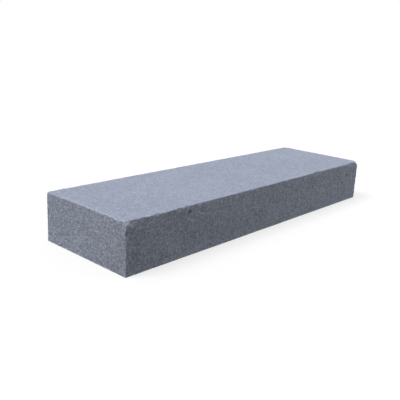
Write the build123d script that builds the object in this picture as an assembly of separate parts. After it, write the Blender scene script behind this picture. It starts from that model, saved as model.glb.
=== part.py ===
from build123d import *
from collections import namedtuple
import os

# Granite block step: one solid piece of stone, lying on its bed as it is laid in a stair.
# Millimetres. The origin is the centre of the bed. +X runs along the length of the step,
# +Y from the riser, which faces the person climbing, to the back, and +Z up to the tread.
# The left end is at -X and the right end at +X.

# The block as it is squared: length of the step, depth of the tread, height of the rise
LENGTH = 1200.0
TREAD_DEPTH = 350.0
RISE = 150.0

# Radii that the arrises are eased to: round the tread, up the four corners, round the bed
TREAD_ARRIS_RADIUS = 4.0
UPRIGHT_ARRIS_RADIUS = 3.0
BED_ARRIS_RADIUS = 1.5

# Both upper corners of the riser are knocked off flat. Each break reaches this far along the
# arris of tread and riser, along that of tread and end, and down the upright.
Knock = namedtuple("Knock", "along_riser along_end down")
LEFT_KNOCK = Knock(along_riser=38.0, along_end=9.0, down=14.0)
RIGHT_KNOCK = Knock(along_riser=24.0, along_end=18.0, down=17.0)

# A spall is a shallow scallop that a blow leaves in an arris. It lies so far from one end of
# the arris, is so long along it, and so deep below the line where the two faces would meet.
Spall = namedtuple("Spall", "distance length depth")

# Along the arris of tread and riser, from the left end and from the right end
RISER_SPALLS_FROM_LEFT = [
    Spall(distance=24.0, length=40.0, depth=4.5),
    Spall(distance=56.0, length=28.0, depth=4.0),
    Spall(distance=104.0, length=18.0, depth=4.6),
    Spall(distance=187.0, length=24.0, depth=3.0),
    Spall(distance=216.0, length=16.0, depth=3.0),
    Spall(distance=266.0, length=18.0, depth=2.8),
]
RISER_SPALLS_FROM_RIGHT = [
    Spall(distance=309.0, length=60.0, depth=2.8),
    Spall(distance=60.0, length=40.0, depth=4.4),
]

# Down the upright corner of riser and left end, from the tread
UPRIGHT_SPALLS_FROM_TREAD = [
    Spall(distance=38.0, length=18.0, depth=5.0),
]

# Along the arris of tread and left end, from the riser
END_SPALLS_FROM_RISER = [
    Spall(distance=40.0, length=50.0, depth=4.0),
    Spall(distance=92.0, length=20.0, depth=2.9),
]

# The ways that the spalls face. A blow on the tread or on the end drives a spall out of the
# riser, so those scallops face out of the riser and lean only this much towards the blow. The
# arris of tread and end is chipped evenly across both faces.
SPALL_LEAN = 0.15
OUT_OF_RISER_ARRIS = Vector(0, -1, SPALL_LEAN)
OUT_OF_UPRIGHT = Vector(-SPALL_LEAN, -1, 0)
OUT_OF_END_ARRIS = Vector(-1, 0, 1)

# A pit is where a grain has broken out of the riser: so far from one end, so far below the
# tread, so wide across its mouth and so deep.
Pit = namedtuple("Pit", "distance below width depth")

RISER_PITS_FROM_LEFT = [
    Pit(distance=228.0, below=19.0, width=7.0, depth=2.0),
]
RISER_PITS_FROM_RIGHT = [
    Pit(distance=81.0, below=47.0, width=7.0, depth=2.0),
    Pit(distance=113.0, below=70.0, width=5.0, depth=1.3),
    Pit(distance=139.0, below=55.0, width=6.0, depth=1.7),
    Pit(distance=149.0, below=43.0, width=5.0, depth=1.3),
]

# The riser's two upper corners, and the ways that the arrises run from them
LEFT_CORNER = Vector(-LENGTH / 2, -TREAD_DEPTH / 2, RISE)
RIGHT_CORNER = Vector(LENGTH / 2, -TREAD_DEPTH / 2, RISE)
RIGHTWARD = Vector(1, 0, 0)
LEFTWARD = Vector(-1, 0, 0)
BACKWARD = Vector(0, 1, 0)
DOWNWARD = Vector(0, 0, -1)


def squared_block():
    """The stone as it is sawn and squared, standing on the bed."""
    return Pos(0, 0, RISE / 2) * Box(LENGTH, TREAD_DEPTH, RISE)


def ease_arrises(stone):
    """Rounds the upright corners first, then the whole run of arrises round tread and bed."""
    stone = fillet(stone.edges().filter_by(Axis.Z), UPRIGHT_ARRIS_RADIUS)
    stone = fillet(stone.faces().sort_by(Axis.Z)[-1].edges(), TREAD_ARRIS_RADIUS)
    return fillet(stone.faces().sort_by(Axis.Z)[0].edges(), BED_ARRIS_RADIUS)


def knock_off(stone, corner, inward, knock):
    """Breaks an upper corner of the riser off flat, through a point on each of its arrises."""
    on_riser_arris = corner + inward * knock.along_riser
    on_end_arris = corner + BACKWARD * knock.along_end
    on_upright = corner + DOWNWARD * knock.down
    outward = (on_end_arris - on_riser_arris).cross(on_upright - on_riser_arris)
    if outward.dot(corner - on_riser_arris) < 0:
        outward = -outward
    return split(stone, bisect_by=Plane(on_riser_arris, z_dir=outward), keep=Keep.BOTTOM)


def scallop(spot, outward, width, depth):
    """The ball that takes a cap so wide and so deep out of the stone at a spot, from outside."""
    radius = (width ** 2 / 4 + depth ** 2) / (2 * depth)
    centre = spot + outward.normalized() * (radius - depth)
    return Pos(centre) * Sphere(radius)


def spalls():
    """One scallop for each place where an arris has chipped."""
    runs = [
        (RISER_SPALLS_FROM_LEFT, LEFT_CORNER, RIGHTWARD, OUT_OF_RISER_ARRIS),
        (RISER_SPALLS_FROM_RIGHT, RIGHT_CORNER, LEFTWARD, OUT_OF_RISER_ARRIS),
        (UPRIGHT_SPALLS_FROM_TREAD, LEFT_CORNER, DOWNWARD, OUT_OF_UPRIGHT),
        (END_SPALLS_FROM_RISER, LEFT_CORNER, BACKWARD, OUT_OF_END_ARRIS),
    ]
    bites = []
    for chips, corner, along, outward in runs:
        for chip in chips:
            spot = corner + along * chip.distance
            bites.append(scallop(spot, outward, chip.length, chip.depth))
    return bites


def pits():
    """One small scallop for each grain that broke out of the riser."""
    out_of_riser = -BACKWARD
    runs = [
        (RISER_PITS_FROM_LEFT, LEFT_CORNER, RIGHTWARD),
        (RISER_PITS_FROM_RIGHT, RIGHT_CORNER, LEFTWARD),
    ]
    bites = []
    for holes, corner, along in runs:
        for pit in holes:
            spot = corner + along * pit.distance + DOWNWARD * pit.below
            bites.append(scallop(spot, out_of_riser, pit.width, pit.depth))
    return bites


def block_step():
    """The finished stone: squared, eased, then knocked and chipped by handling."""
    stone = ease_arrises(squared_block())
    stone = knock_off(stone, LEFT_CORNER, RIGHTWARD, LEFT_KNOCK)
    stone = knock_off(stone, RIGHT_CORNER, LEFTWARD, RIGHT_KNOCK)
    for bite in spalls() + pits():
        stone -= bite
    return stone


os.makedirs("parts", exist_ok=True)
block = block_step()
export_step(block, "parts/block.step")
print("block", round(block.volume / 1e9, 5), "cubic metres, valid:", block.is_valid)
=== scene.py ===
import math

import bpy
import numpy as np
from mathutils import Matrix, Vector, noise


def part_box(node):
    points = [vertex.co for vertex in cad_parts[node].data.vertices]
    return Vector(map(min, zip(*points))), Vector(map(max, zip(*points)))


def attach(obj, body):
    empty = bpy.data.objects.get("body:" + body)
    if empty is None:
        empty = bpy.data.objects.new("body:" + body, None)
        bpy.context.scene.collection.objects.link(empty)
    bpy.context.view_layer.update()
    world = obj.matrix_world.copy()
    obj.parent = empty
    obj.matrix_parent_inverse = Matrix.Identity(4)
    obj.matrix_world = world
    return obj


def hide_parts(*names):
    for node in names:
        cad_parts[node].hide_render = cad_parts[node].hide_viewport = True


# Granite block step: one solid stone with a flamed tread, riser and ends, and a sawn back and bed.
# Metres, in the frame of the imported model: +X along the step, +Y to the back, +Z up.

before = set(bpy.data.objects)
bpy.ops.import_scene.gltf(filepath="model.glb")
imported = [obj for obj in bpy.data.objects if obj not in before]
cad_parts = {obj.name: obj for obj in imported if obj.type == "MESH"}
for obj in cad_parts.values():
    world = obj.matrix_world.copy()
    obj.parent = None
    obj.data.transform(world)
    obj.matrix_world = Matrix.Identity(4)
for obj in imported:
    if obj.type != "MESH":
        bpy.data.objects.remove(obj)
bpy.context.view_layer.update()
LOW, HIGH = (np.array(corner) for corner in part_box("block"))

MM = 0.001

# What the chips' random draws and the flakes' tilts start from, so that every run gives the same
# stone
SEED = 350

# Radii of the eased arrises, and the shares of the height above which the tread's radius holds and
# below which the bed's does
TREAD_ARRIS = 4.0 * MM
UPRIGHT_ARRIS = 3.0 * MM
BED_ARRIS = 1.5 * MM
TREAD_FROM, BED_UP_TO = 0.9, 0.1

# The mesh's lines lie this far apart over a face, and this far from an arris beside it
FACE_PITCH = 4.1 * MM
LINES_BY_ARRIS = np.array([0.0, 0.9, 2.0, 3.3, 5.0, 7.5]) * MM

# The gap between the sides on the map that the material is laid out on
MAP_GAP = 8 * MM

# Relief of the stone, all of it below the faces of the solid: a slow swell, the flakes that flaming
# leaves, and grit. On sawn faces only a share of it is left.
SWELL_SIZE, SWELL_DEPTH = 90.0 * MM, 0.35 * MM
FLAKE_SIZE, FLAKE_SLOPE = 11.0 * MM, 0.15
GRIT_SIZE, GRIT_DEPTH = 7.0 * MM, 0.50 * MM
SAWN_SHARE, SAWN_FADE = 0.25, 2
MOST_RELIEF = 2.8 * MM

# How differently two flakes side by side are tilted, how far away the grit's noise is read so that
# it differs from the swell's, and the percentile of the roughness that lies level with the swell
FLAKE_VARIETY = 3.7
GRIT_AWAY = 1.0
HIGH_POINTS = 99

# Spalls that handling left in the arrises: distance from the end or face named, length and depth,
# in millimetres
RISER_SPALLS_FROM_LEFT = [
    (24, 40, 4.5),
    (56, 28, 4.0),
    (104, 18, 4.6),
    (187, 24, 3.0),
    (216, 16, 3.0),
    (266, 18, 2.8),
]
RISER_SPALLS_FROM_RIGHT = [(309, 60, 2.8), (60, 40, 4.4)]
UPRIGHT_SPALLS_FROM_TREAD = [(38, 18, 5.0)]
END_SPALLS_FROM_RISER = [(40, 50, 4.0), (92, 20, 2.9)]

# The ways that the spalls face out of the stone. A blow drives a spall down the face beside it, so
# those on the riser's arrises face out of the riser and lean only a little.
OUT_OF_RISER_ARRIS = (0, -1, 0.15)
OUT_OF_UPRIGHT = (-0.15, -1, 0)
OUT_OF_END_ARRIS = (-1, 0, 1)

# Pits in the riser: distance from the end named, distance below the tread, width and depth, in
# millimetres
RISER_PITS_FROM_LEFT = [(228, 19, 7, 2.0)]
RISER_PITS_FROM_RIGHT = [(81, 47, 7, 2.0), (113, 70, 5, 1.3), (139, 55, 6, 1.7), (149, 43, 5, 1.3)]

# The flat breaks at the two upper corners of the riser, and the blunted ones at the back: how far
# each reaches along the tread's long arris, along that of tread and end, and down the upright, in
# millimetres
LEFT_KNOCK = (38, 9, 14)
RIGHT_KNOCK = (24, 18, 17)
BACK_LEFT_KNOCK = (8, 10, 8)
BACK_RIGHT_KNOCK = (16, 10, 8)

# Small chips all along the arrises: how many to a metre, how many on those of the sawn back, the
# fewest on one arris, the stretch of it that they keep to, and their lengths and depths
CHIPS_PER_METRE = 16
BACK_CHIPS_PER_METRE = 6
FEWEST_CHIPS = 2
CHIP_STRETCH = (0.01, 0.99)
CHIP_LENGTHS = (5.0 * MM, 14.0 * MM)
CHIP_DEPTHS = (0.4 * MM, 1.3 * MM)

# Relief too fine for the mesh: hollows between flakes, steps from grain to grain, and grit
HOLLOW_SIZE, HOLLOW_DEPTH = 6.5 * MM, 0.9 * MM
STEP_DEPTH = 0.5 * MM
GRIT_GRAIN, GRIT_GRAIN_DEPTH = 1.3 * MM, 0.12 * MM

# Granite: the sizes and shares of what varies, from single grains to broad patches, how detailed the
# patches are, the size of the noise that bends the grains' outlines, and how many times the tread's
# contrast the sides have. The sides' stronger contrast is partly their rougher finish and partly
# painted light and shade: grazing light on their relief, and the sheen that pales the tread.
GRAIN_SIZE, GRAIN_SHARE = 2.8 * MM, 0.40
CLUSTER_SIZE, CLUSTER_SHARE = 7.5 * MM, 0.48
MOTTLE_SIZE, MOTTLE_SHARE = 18.0 * MM, 0.26
PATCH_SIZE, PATCH_SHARE = 120.0 * MM, 0.18
PATCH_DETAIL = 3.0
BEND_SIZE = GRAIN_SIZE * 1.5
SIDE_CONTRAST_WITH_PAINTED_SHADE = 1.7

# The middle of everything that runs from 0 to 1, such as noise and a grain's number
MIDDLE = 0.5

# The colour of each kind of grain, and the grain's number that has just that colour. From one
# number to the next the colours blend.
MICA = (0.250, 0.273, 0.335)
DARK_FELDSPAR = (0.284, 0.310, 0.380)
GREY_FELDSPAR = (0.328, 0.360, 0.440)
PALE_FELDSPAR = (0.388, 0.426, 0.520)
QUARTZ = (0.470, 0.515, 0.623)
GRAINS = [
    (0.15, MICA),
    (0.32, DARK_FELDSPAR),
    (0.50, GREY_FELDSPAR),
    (0.65, PALE_FELDSPAR),
    (0.82, QUARTZ),
]

# What the stone's colours are multiplied by: a painted bluish tint of the light on the tread, and
# white on the sides
TREAD_PAINTED_LIGHT_TINT = Vector((1.005, 1.015, 1.056))
WHITE = Vector((1, 1, 1))

# How much paler the stone is along its arrises, partly from bruising and partly as a painted
# highlight
BRUISE_AND_HIGHLIGHT = 0.16

# Mica is a little smoother than feldspar: the number up to which a grain has mica's roughness, that
# from which it has feldspar's, both roughnesses, and the strength of the shine
MICA_KIND, FELDSPAR_KIND = 0.05, 0.3
MICA_ROUGHNESS, FELDSPAR_ROUGHNESS = 0.5, 0.85
SHINE = 0.35

# A pit has shade painted inside it: the share of light that its middle gives back, and how far
# from its centre the painted shade begins to fade and ends, as shares of its width
PAINTED_PIT_SHADE = 0.45
PIT_DARK, PIT_FADED = 0.45, 0.95

# The stone is darker round the foot of its near corner: the share of light that it gives back
# there, and how far from the corner the darkening begins to fade and ends
DARKER_FOOT_SHARE = 0.88
DARKER_FOOT_FULL, DARKER_FOOT_FADED = 45.0 * MM, 140.0 * MM

# Camera: place, heading from +Y towards -X, tilt below the horizon, roll, focal length as a share
# of the picture's width, sensor width in millimetres, and the nearest and farthest that it sees
CAMERA_PLACE = (-1.4403, -1.1634, 0.589)
CAMERA_HEADING = math.radians(-48.218)
CAMERA_TILT = math.radians(16.211)
CAMERA_ROLL = math.radians(-2.909)
CAMERA_FOCAL_SHARE = 555.8 / 400
SENSOR_WIDTH = 36
NEAREST_SEEN, FARTHEST_SEEN = 0.05, 200

# Light: the main soft light, the even light from the sky, and how far below and above the horizon
# the sky's light begins and is full
KEY_FROM = Vector((-0.52, 0.22, 0.83))
KEY_STRENGTH = 1.81
KEY_SOFTNESS = math.radians(28)
SKY_STRENGTH = 0.52
HORIZON = 0.05

# Two weak soft boxes, which brighten the riser towards its far end and the left end towards its back
BOX_SIZE = 1.2
RISER_BOX_PLACE = (1.7, -1.5, 0.8)
RISER_BOX_AIM = (0.6, -0.175, 0.075)
RISER_BOX_WATTS = 6.3
END_BOX_PLACE = (-1.35, 0.8, 0.25)
END_BOX_AIM = (-0.6, 0.15, 0.075)
END_BOX_WATTS = 1.35

# The floor's paint and its own glow add up to about white under the lights. More would clip and
# leave the stone's outline jagged. The glow lies in the shadow too, and keeps it faint.
FLOOR_REACH = 60.0
FLOOR_PAINT = 0.33
FLOOR_GLOW = 0.68

# The riser's upper corners, the foot of the near one, and the ways that the arrises run
LEFT_CORNER = np.array([LOW[0], LOW[1], HIGH[2]])
RIGHT_CORNER = np.array([HIGH[0], LOW[1], HIGH[2]])
DARKER_FOOT_CORNER = LOW
RIGHTWARD = np.array([1, 0, 0])
BACKWARD = np.array([0, 1, 0])
DOWNWARD = np.array([0, 0, -1])


def axis_lines(low, high):
    """Places of the mesh's lines along one axis: close together by both arrises, even between."""
    start = low + LINES_BY_ARRIS
    end = high - LINES_BY_ARRIS[::-1]
    count = max(int(round((end[0] - start[-1]) / FACE_PITCH)), 1)
    middle = np.linspace(start[-1], end[0], count + 1)[1:-1]
    return np.concatenate([start, middle, end])


def box_surface(lines):
    """Points and quads of the surface of a box of lines, and the side that each set of quads is.

    A side is given by the axis across it and whether it is the high one of the two.
    """
    counts = [len(line) for line in lines]
    number = np.full(counts, -1)
    surface = np.zeros(counts, bool)
    for axis in range(3):
        for end in (0, -1):
            surface[tuple(end if a == axis else slice(None) for a in range(3))] = True
    number[surface] = np.arange(surface.sum())
    places = np.stack(np.meshgrid(*lines, indexing="ij"), axis=-1)[surface]
    quads = []
    sides = []
    for axis in range(3):
        first, second = (axis + 1) % 3, (axis + 2) % 3
        for is_high in (False, True):
            sheet = np.take(number, -1 if is_high else 0, axis=axis)
            sheet = sheet if first < second else sheet.T
            corners = [sheet[:-1, :-1], sheet[1:, :-1], sheet[1:, 1:], sheet[:-1, 1:]]
            if not is_high:
                corners.reverse()
            quads.append(np.stack(corners, axis=-1).reshape(-1, 4))
            sides.append((axis, is_high))
    return places, quads, sides


def arris_radius(places):
    """The radius that the stone is eased to at each point: the tread's above, the bed's below."""
    height = (places[:, 2] - LOW[2]) / (HIGH[2] - LOW[2])
    radius = np.full(len(places), UPRIGHT_ARRIS)
    radius = np.where(height > TREAD_FROM, TREAD_ARRIS, radius)
    return np.where(height < BED_UP_TO, BED_ARRIS, radius)[:, None]


def rounded(places):
    """The points moved onto the eased box, and the outward direction at each."""
    radius = arris_radius(places)
    core = np.clip(places, LOW + radius, HIGH - radius)
    outward = places - core
    outward /= np.linalg.norm(outward, axis=1)[:, None]
    return core + radius * outward, outward


def noise_at(points, size):
    """Smooth noise of about that size at each point, from -1 to 1."""
    return np.array([noise.noise(point) for point in points / size])


def flakes_at(points, size):
    """Height over the size of small tilted facets, one for each cell of stone."""
    heights = []
    for point in points / size:
        centre = noise.voronoi(point)[1][0]
        tilt = noise.noise_vector(centre * FLAKE_VARIETY)
        heights.append(tilt.dot(Vector(point) - centre))
    return np.array(heights)


def sawn(outward):
    """How far each point belongs to the sawn back or bed, from 0 to 1."""
    return np.clip(np.maximum(outward[:, 1], -outward[:, 2]), 0, 1) ** SAWN_FADE


def relief(points, outward):
    """How far each point lies below the face of the solid."""
    swell = SWELL_DEPTH * noise_at(points, SWELL_SIZE)
    flakes = FLAKE_SLOPE * FLAKE_SIZE * flakes_at(points, FLAKE_SIZE)
    grit = GRIT_DEPTH * noise_at(points + GRIT_AWAY, GRIT_SIZE)
    rough = flakes + grit
    share_left = 1 - (1 - SAWN_SHARE) * sawn(outward)
    depth = SWELL_DEPTH + swell + (np.percentile(rough, HIGH_POINTS) - rough) * share_left
    return np.clip(depth, 0, MOST_RELIEF)


def scallop(spot, outward, width, depth):
    """The ball that takes a cap so wide and so deep out of the stone: centre, radius and axis."""
    axis = np.array(outward, float)
    axis /= np.linalg.norm(axis)
    radius = (width ** 2 / 4 + depth ** 2) / (2 * depth)
    return np.array(spot) + axis * (radius - depth), radius, axis


def pits():
    """The middle of each pit's mouth, its width and its depth."""
    runs = [
        (RISER_PITS_FROM_LEFT, LEFT_CORNER, RIGHTWARD),
        (RISER_PITS_FROM_RIGHT, RIGHT_CORNER, -RIGHTWARD),
    ]
    found = []
    for listed, corner, along in runs:
        for distance, below, width, depth in listed:
            spot = corner + (along * distance + DOWNWARD * below) * MM
            found.append((spot, width * MM, depth * MM))
    return found


def named_bites():
    """The spalls and pits that the solid has too."""
    runs = [
        (RISER_SPALLS_FROM_LEFT, LEFT_CORNER, RIGHTWARD, OUT_OF_RISER_ARRIS),
        (RISER_SPALLS_FROM_RIGHT, RIGHT_CORNER, -RIGHTWARD, OUT_OF_RISER_ARRIS),
        (UPRIGHT_SPALLS_FROM_TREAD, LEFT_CORNER, DOWNWARD, OUT_OF_UPRIGHT),
        (END_SPALLS_FROM_RISER, LEFT_CORNER, BACKWARD, OUT_OF_END_ARRIS),
    ]
    bites = []
    for spalls, corner, along, outward in runs:
        for distance, length, depth in spalls:
            bites.append(scallop(corner + along * distance * MM, outward, length * MM, depth * MM))
    for spot, width, depth in pits():
        bites.append(scallop(spot, -BACKWARD, width, depth))
    return bites


def eased_to(upward):
    """The radius of an arris that faces up, down or neither."""
    if upward > 0:
        return TREAD_ARRIS
    if upward < 0:
        return BED_ARRIS
    return UPRIGHT_ARRIS


def chips_on_arris(along, outward, draw):
    """Small chips at random on one arris, given by the axis that it runs along and where it faces."""
    span = HIGH[along] - LOW[along]
    rounding = eased_to(outward[2]) * (math.sqrt(2) - 1)
    often = BACK_CHIPS_PER_METRE if outward[1] > 0 else CHIPS_PER_METRE
    bites = []
    for _ in range(max(int(span * often), FEWEST_CHIPS)):
        spot = np.where(outward > 0, HIGH, LOW)
        spot[along] = LOW[along] + span * draw.uniform(*CHIP_STRETCH)
        depth = rounding + draw.uniform(*CHIP_DEPTHS)
        bites.append(scallop(spot, outward, draw.uniform(*CHIP_LENGTHS), depth))
    return bites


def small_chips(draw):
    """The small chips on all twelve arrises."""
    bites = []
    for along in range(3):
        first, second = (along + 1) % 3, (along + 2) % 3
        for first_way in (-1, 1):
            for second_way in (-1, 1):
                outward = np.zeros(3)
                outward[first] = first_way
                outward[second] = second_way
                bites.extend(chips_on_arris(along, outward, draw))
    return bites


def bitten(points, bites):
    """The points moved down onto each ball that they lie in, along the ball's axis."""
    for centre, radius, axis in bites:
        offset = points - centre
        inside = np.einsum("ij,ij->i", offset, offset) < radius ** 2
        near = offset[inside]
        rise = near @ axis
        drop = rise + np.sqrt(rise ** 2 - np.einsum("ij,ij->i", near, near) + radius ** 2)
        points[inside] -= drop[:, None] * axis
    return points


def knocked(points):
    """The points beyond the breaks at the four upper corners, moved back onto them."""
    breaks = [
        ((-1, -1, 1), LEFT_KNOCK),
        ((1, -1, 1), RIGHT_KNOCK),
        ((-1, 1, 1), BACK_LEFT_KNOCK),
        ((1, 1, 1), BACK_RIGHT_KNOCK),
    ]
    for outward, reaches in breaks:
        corner = np.where(np.array(outward) > 0, HIGH, LOW)
        normal = np.array(outward) / np.array(reaches)
        depth = MM / np.linalg.norm(normal)
        normal /= np.linalg.norm(normal)
        beyond = (points - corner) @ normal + depth
        points = points - np.clip(beyond, 0, None)[:, None] * normal
    return points


def unrolled(places, quads, sides):
    """Map coordinates of every quad corner, with the six sides laid out so that none overlap."""
    size = HIGH - LOW
    shelf = {}
    height = MAP_GAP
    for axis, is_high in ((2, True), (2, False), (1, False), (1, True)):
        shelf[(axis, is_high)] = (MAP_GAP, height, 0, 3 - axis)
        height += size[3 - axis] + MAP_GAP
    shelf[(0, False)] = (MAP_GAP, height, 1, 2)
    shelf[(0, True)] = (MAP_GAP + size[1] + MAP_GAP, height, 1, 2)
    height += size[2] + MAP_GAP
    whole = max(size[0] + 2 * MAP_GAP, height)
    uv = []
    for quad, side in zip(quads, sides):
        left, bottom, across, up = shelf[side]
        corner = places[quad.ravel()] - LOW
        uv.append(np.stack([left + corner[:, across], bottom + corner[:, up]], axis=1) / whole)
    return np.concatenate(uv)


def mark(mesh, name, values):
    """Gives each point of the mesh a number that the material reads by name."""
    attribute = mesh.attributes.new(name, "FLOAT", "POINT")
    attribute.data.foreach_set("value", values.astype(np.float32))


def stone_mesh():
    """The stone as one closed mesh, with its relief, spalls, pits and chips."""
    lines = [axis_lines(LOW[axis], HIGH[axis]) for axis in range(3)]
    places, quads, sides = box_surface(lines)
    points, outward = rounded(places)
    noise.seed_set(SEED)
    depth = relief(points, outward)
    draw = np.random.default_rng(SEED)
    points = knocked(bitten(points, named_bites() + small_chips(draw)))
    points -= outward * depth[:, None]
    corners = np.concatenate(quads)
    mesh = bpy.data.meshes.new("granite_block")
    mesh.from_pydata(points, [], corners)
    mesh.polygons.foreach_set("use_smooth", np.ones(len(corners), bool))
    chart = mesh.uv_layers.new(name="OFBake")
    chart.data.foreach_set("uv", unrolled(places, quads, sides).astype(np.float32).ravel())
    from_arris = np.sort(np.minimum(places - LOW, HIGH - places), axis=1)[:, 1]
    # How near each point is to an arris, for paleness that is partly bruising and partly a painted
    # highlight
    mark(mesh, "arris_wear_and_highlight", np.exp(-from_arris / TREAD_ARRIS))
    mark(mesh, "tread_face", np.clip(outward[:, 2], 0, 1))
    mark(mesh, "sawn_face", sawn(outward))
    mesh.validate()
    mesh.update()
    return mesh


class Nodes:
    """A node tree that is built one node at a time."""

    def __init__(self, tree):
        self.tree = tree
        self.tree.nodes.clear()

    def add(self, kind, inputs=None, **settings):
        """A new node with its settings, each input a value or another node's output."""
        node = self.tree.nodes.new(kind)
        for name, value in settings.items():
            setattr(node, name, value)
        for name, value in (inputs or {}).items():
            socket = node.inputs[name]
            if isinstance(value, bpy.types.NodeSocket):
                self.tree.links.new(value, socket)
            else:
                socket.default_value = value
        return node

    def math(self, operation, a, b):
        return self.add("ShaderNodeMath", {0: a, 1: b}, operation=operation).outputs[0]

    def vector(self, operation, *values):
        inputs = dict(enumerate(values))
        return self.add("ShaderNodeVectorMath", inputs, operation=operation).outputs[0]

    def attribute(self, name):
        """A number that the mesh carries at each point."""
        return self.add("ShaderNodeAttribute", attribute_name=name).outputs["Fac"]

    def noise(self, where, size, detail=1.0, output="Fac"):
        settings = {"Vector": where, "Scale": 1 / size, "Detail": detail}
        return self.add("ShaderNodeTexNoise", settings).outputs[output]

    def swing(self, value, share):
        """A value that runs from 0 to 1, turned into a change so large, half up and half down."""
        return self.math("MULTIPLY", self.math("SUBTRACT", value, MIDDLE), share)

    def ramp(self, value, stops):
        """Colours by value, from a list of (place, colour)."""
        node = self.add("ShaderNodeValToRGB", {"Fac": value})
        elements = node.color_ramp.elements
        while len(elements) < len(stops):
            elements.new(MIDDLE)
        for element, (place, colour) in zip(elements, stops):
            element.position = place
            element.color = (*colour, 1)
        return node.outputs["Color"]

    def scaled(self, colour, factor):
        """A colour times a number."""
        inputs = {0: colour, 3: factor}
        return self.add("ShaderNodeVectorMath", inputs, operation="SCALE").outputs[0]

    def shaded(self, colour, where, spot, shade, full, faded):
        """A colour that is darkened up to one distance from a spot, and less and less to another."""
        inputs = {0: where, 1: Vector(spot)}
        away = self.add("ShaderNodeVectorMath", inputs, operation="DISTANCE")
        factor = self.add("ShaderNodeMapRange", {
            "Value": away.outputs["Value"],
            "From Min": full,
            "From Max": faded,
            "To Min": shade,
            "To Max": 1.0,
        })
        return self.scaled(colour, factor.outputs[0])


def grain_swing(make, where):
    """Grains with uneven outlines, each with its own step up or down."""
    shake = make.noise(where, BEND_SIZE, output="Color")
    shaken = make.vector("SUBTRACT", shake, (MIDDLE, MIDDLE, MIDDLE))
    bent = make.vector("ADD", where, make.scaled(shaken, GRAIN_SIZE))
    cells = make.add("ShaderNodeTexVoronoi", {"Vector": bent, "Scale": 1 / GRAIN_SIZE})
    number = make.add("ShaderNodeSeparateColor", {"Color": cells.outputs["Color"]}).outputs[0]
    return make.swing(number, GRAIN_SHARE)


def grain_kind(make, where, grain, tread):
    """A number for the kind of grain, from mica at 0 to quartz at 1, spread wider on the sides,
    partly as painted light and shade.
    """
    cluster = make.swing(make.noise(where, CLUSTER_SIZE), CLUSTER_SHARE)
    mottle = make.swing(make.noise(where, MOTTLE_SIZE), MOTTLE_SHARE)
    # More contrast on the sides: partly their finish, partly painted light and shade
    less = make.math("MULTIPLY", tread, SIDE_CONTRAST_WITH_PAINTED_SHADE - 1)
    contrast = make.math("SUBTRACT", SIDE_CONTRAST_WITH_PAINTED_SHADE, less)
    change = make.math("ADD", make.math("ADD", grain, cluster), mottle)
    return make.math("ADD", make.math("MULTIPLY", change, contrast), MIDDLE)


def stone_colour(make, where, kind, tread):
    """The grains' colours, with broad patches, arrises paler from bruising and painted highlight, a
    painted bluish tint of light on the tread, painted shade in the pits, and a darker foot at the
    near corner.
    """
    patch = make.swing(make.noise(where, PATCH_SIZE, detail=PATCH_DETAIL), PATCH_SHARE)
    patch = make.math("ADD", patch, 1.0)
    # Arrises paler, partly from bruising and partly as a painted highlight
    bruise_and_highlight = make.math("MULTIPLY", make.attribute("arris_wear_and_highlight"), BRUISE_AND_HIGHLIGHT)
    bruise_and_highlight = make.math("ADD", bruise_and_highlight, 1.0)
    colour = make.scaled(make.ramp(kind, GRAINS), make.math("MULTIPLY", patch, bruise_and_highlight))
    # A bluish tint of the light on the tread, painted into its colour
    tint = make.vector("MULTIPLY_ADD", tread, TREAD_PAINTED_LIGHT_TINT - WHITE, WHITE)
    colour = make.vector("MULTIPLY", colour, tint)
    # Painted shade inside each pit
    for spot, width, _ in pits():
        colour = make.shaded(colour, where, spot, PAINTED_PIT_SHADE, PIT_DARK * width, PIT_FADED * width)
    # Darker round the foot of the near corner
    return make.shaded(colour, where, DARKER_FOOT_CORNER, DARKER_FOOT_SHARE, DARKER_FOOT_FULL, DARKER_FOOT_FADED)


def stone_roughness(make, kind):
    """Mica a little smoother than the feldspar round it."""
    return make.add("ShaderNodeMapRange", {
        "Value": kind,
        "From Min": MICA_KIND,
        "From Max": FELDSPAR_KIND,
        "To Min": MICA_ROUGHNESS,
        "To Max": FELDSPAR_ROUGHNESS,
    }).outputs[0]


def fine_relief(make, where, grain):
    """Hollows between flakes, grains that stand up or have gone, and grit; less on sawn faces."""
    hollows = make.math("MULTIPLY", make.noise(where, HOLLOW_SIZE), HOLLOW_DEPTH)
    steps = make.math("MULTIPLY", grain, STEP_DEPTH)
    grit = make.math("MULTIPLY", make.noise(where, GRIT_GRAIN), GRIT_GRAIN_DEPTH)
    height = make.math("ADD", hollows, make.math("ADD", steps, grit))
    less = make.math("MULTIPLY", make.attribute("sawn_face"), 1 - SAWN_SHARE)
    strength = make.math("SUBTRACT", 1.0, less)
    bump = make.add("ShaderNodeBump", {"Height": height, "Strength": strength, "Distance": 1.0})
    return bump.outputs[0]


def granite():
    """Dark grey granite: interlocked grains of feldspar, quartz and mica."""
    material = bpy.data.materials.new("granite")
    material.use_nodes = True
    make = Nodes(material.node_tree)
    where = make.add("ShaderNodeTexCoord").outputs["Object"]
    tread = make.attribute("tread_face")
    grain = grain_swing(make, where)
    kind = grain_kind(make, where, grain, tread)
    shader = make.add("ShaderNodeBsdfPrincipled", {
        "Base Color": stone_colour(make, where, kind, tread),
        "Roughness": stone_roughness(make, kind),
        "Normal": fine_relief(make, where, grain),
        "Specular IOR Level": SHINE,
    })
    make.add("ShaderNodeOutputMaterial", {"Surface": shader.outputs[0]})
    return material


def stone():
    """The block step's visible piece, which stands for the plain solid."""
    piece = bpy.data.objects.new("granite_block", stone_mesh())
    bpy.context.scene.collection.objects.link(piece)
    piece.data.materials.append(granite())
    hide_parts("block")
    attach(piece, "root")


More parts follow.
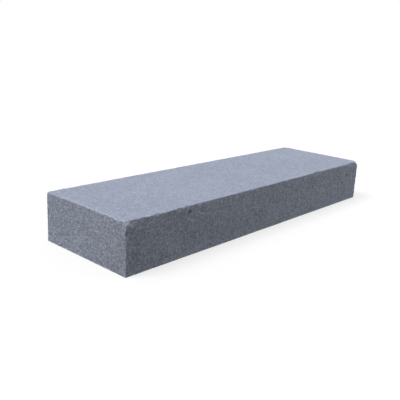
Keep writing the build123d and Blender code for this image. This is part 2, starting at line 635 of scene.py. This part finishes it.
def pale_floor():
    """Grey paint with a white glow of its own, which together look white."""
    material = bpy.data.materials.new("pale_floor")
    material.use_nodes = True
    make = Nodes(material.node_tree)
    paint = (FLOOR_PAINT, FLOOR_PAINT, FLOOR_PAINT, 1)
    lit = make.add("ShaderNodeBsdfDiffuse", {"Color": paint})
    glow = make.add("ShaderNodeEmission", {"Strength": FLOOR_GLOW})
    shader = make.add("ShaderNodeAddShader", {0: lit.outputs[0], 1: glow.outputs[0]})
    make.add("ShaderNodeOutputMaterial", {"Surface": shader.outputs[0]})
    return material


def floor():
    """A plain pale floor, wide enough to meet the sky, that throws no light on the stone."""
    mesh = bpy.data.meshes.new("floor")
    corners = [
        (-FLOOR_REACH, -FLOOR_REACH, 0),
        (FLOOR_REACH, -FLOOR_REACH, 0),
        (FLOOR_REACH, FLOOR_REACH, 0),
        (-FLOOR_REACH, FLOOR_REACH, 0),
    ]
    mesh.from_pydata(corners, [], [(0, 1, 2, 3)])
    mesh.materials.append(pale_floor())
    sheet = bpy.data.objects.new("floor", mesh)
    sheet.location.z = LOW[2]
    bpy.context.scene.collection.objects.link(sheet)
    sheet.visible_diffuse = False
    sheet.visible_glossy = False


def key_light():
    """One large soft light from above, the left and a little behind."""
    light = bpy.data.lights.new("key", "SUN")
    light.energy = KEY_STRENGTH
    light.angle = KEY_SOFTNESS
    lamp = bpy.data.objects.new("key", light)
    lamp.rotation_euler = KEY_FROM.to_track_quat("Z", "Y").to_euler()
    bpy.context.scene.collection.objects.link(lamp)


def soft_box(name, place, aim, watts):
    """A square soft box at a place, turned to what it lights."""
    light = bpy.data.lights.new(name, "AREA")
    light.size = BOX_SIZE
    light.energy = watts
    lamp = bpy.data.objects.new(name, light)
    lamp.location = place
    lamp.rotation_euler = (Vector(place) - Vector(aim)).to_track_quat("Z", "Y").to_euler()
    bpy.context.scene.collection.objects.link(lamp)


def sky():
    """White to the camera; to the stone, an even light from above and none from below."""
    world = bpy.data.worlds.new("studio")
    world.use_nodes = True
    make = Nodes(world.node_tree)
    where = make.add("ShaderNodeTexCoord").outputs["Generated"]
    height = make.add("ShaderNodeSeparateXYZ", {"Vector": where}).outputs["Z"]
    span = {"Value": height, "From Min": -HORIZON, "From Max": HORIZON}
    above = make.add("ShaderNodeMapRange", span).outputs[0]
    strength = make.math("MULTIPLY", above, SKY_STRENGTH)
    light = make.add("ShaderNodeBackground", {"Color": (*WHITE, 1), "Strength": strength})
    backdrop = make.add("ShaderNodeBackground", {"Color": (*WHITE, 1), "Strength": 1.0})
    seen = make.add("ShaderNodeLightPath").outputs["Is Camera Ray"]
    mix = make.add("ShaderNodeMixShader", {0: seen, 1: light.outputs[0], 2: backdrop.outputs[0]})
    make.add("ShaderNodeOutputWorld", {"Surface": mix.outputs[0]})
    bpy.context.scene.world = world


def camera():
    """The photograph's viewpoint, with no shift and no depth of field."""
    level = Vector((math.cos(CAMERA_HEADING), math.sin(CAMERA_HEADING), 0))
    forward = Vector((
        -math.sin(CAMERA_HEADING) * math.cos(CAMERA_TILT),
        math.cos(CAMERA_HEADING) * math.cos(CAMERA_TILT),
        -math.sin(CAMERA_TILT),
    ))
    right = level * math.cos(CAMERA_ROLL) - level.cross(forward) * math.sin(CAMERA_ROLL)
    up = right.cross(forward)
    lens = bpy.data.cameras.new("camera")
    lens.sensor_width = SENSOR_WIDTH
    lens.lens = CAMERA_FOCAL_SHARE * lens.sensor_width
    lens.clip_start = NEAREST_SEEN
    lens.clip_end = FARTHEST_SEEN
    eye = bpy.data.objects.new("camera", lens)
    turn = Matrix((right, up, -forward)).transposed().to_4x4()
    eye.matrix_world = Matrix.Translation(CAMERA_PLACE) @ turn
    bpy.context.scene.collection.objects.link(eye)
    bpy.context.scene.camera = eye


bpy.context.scene.view_settings.view_transform = "Standard"
stone()
floor()
key_light()
soft_box("riser_box", RISER_BOX_PLACE, RISER_BOX_AIM, RISER_BOX_WATTS)
soft_box("end_box", END_BOX_PLACE, END_BOX_AIM, END_BOX_WATTS)
sky()
camera()
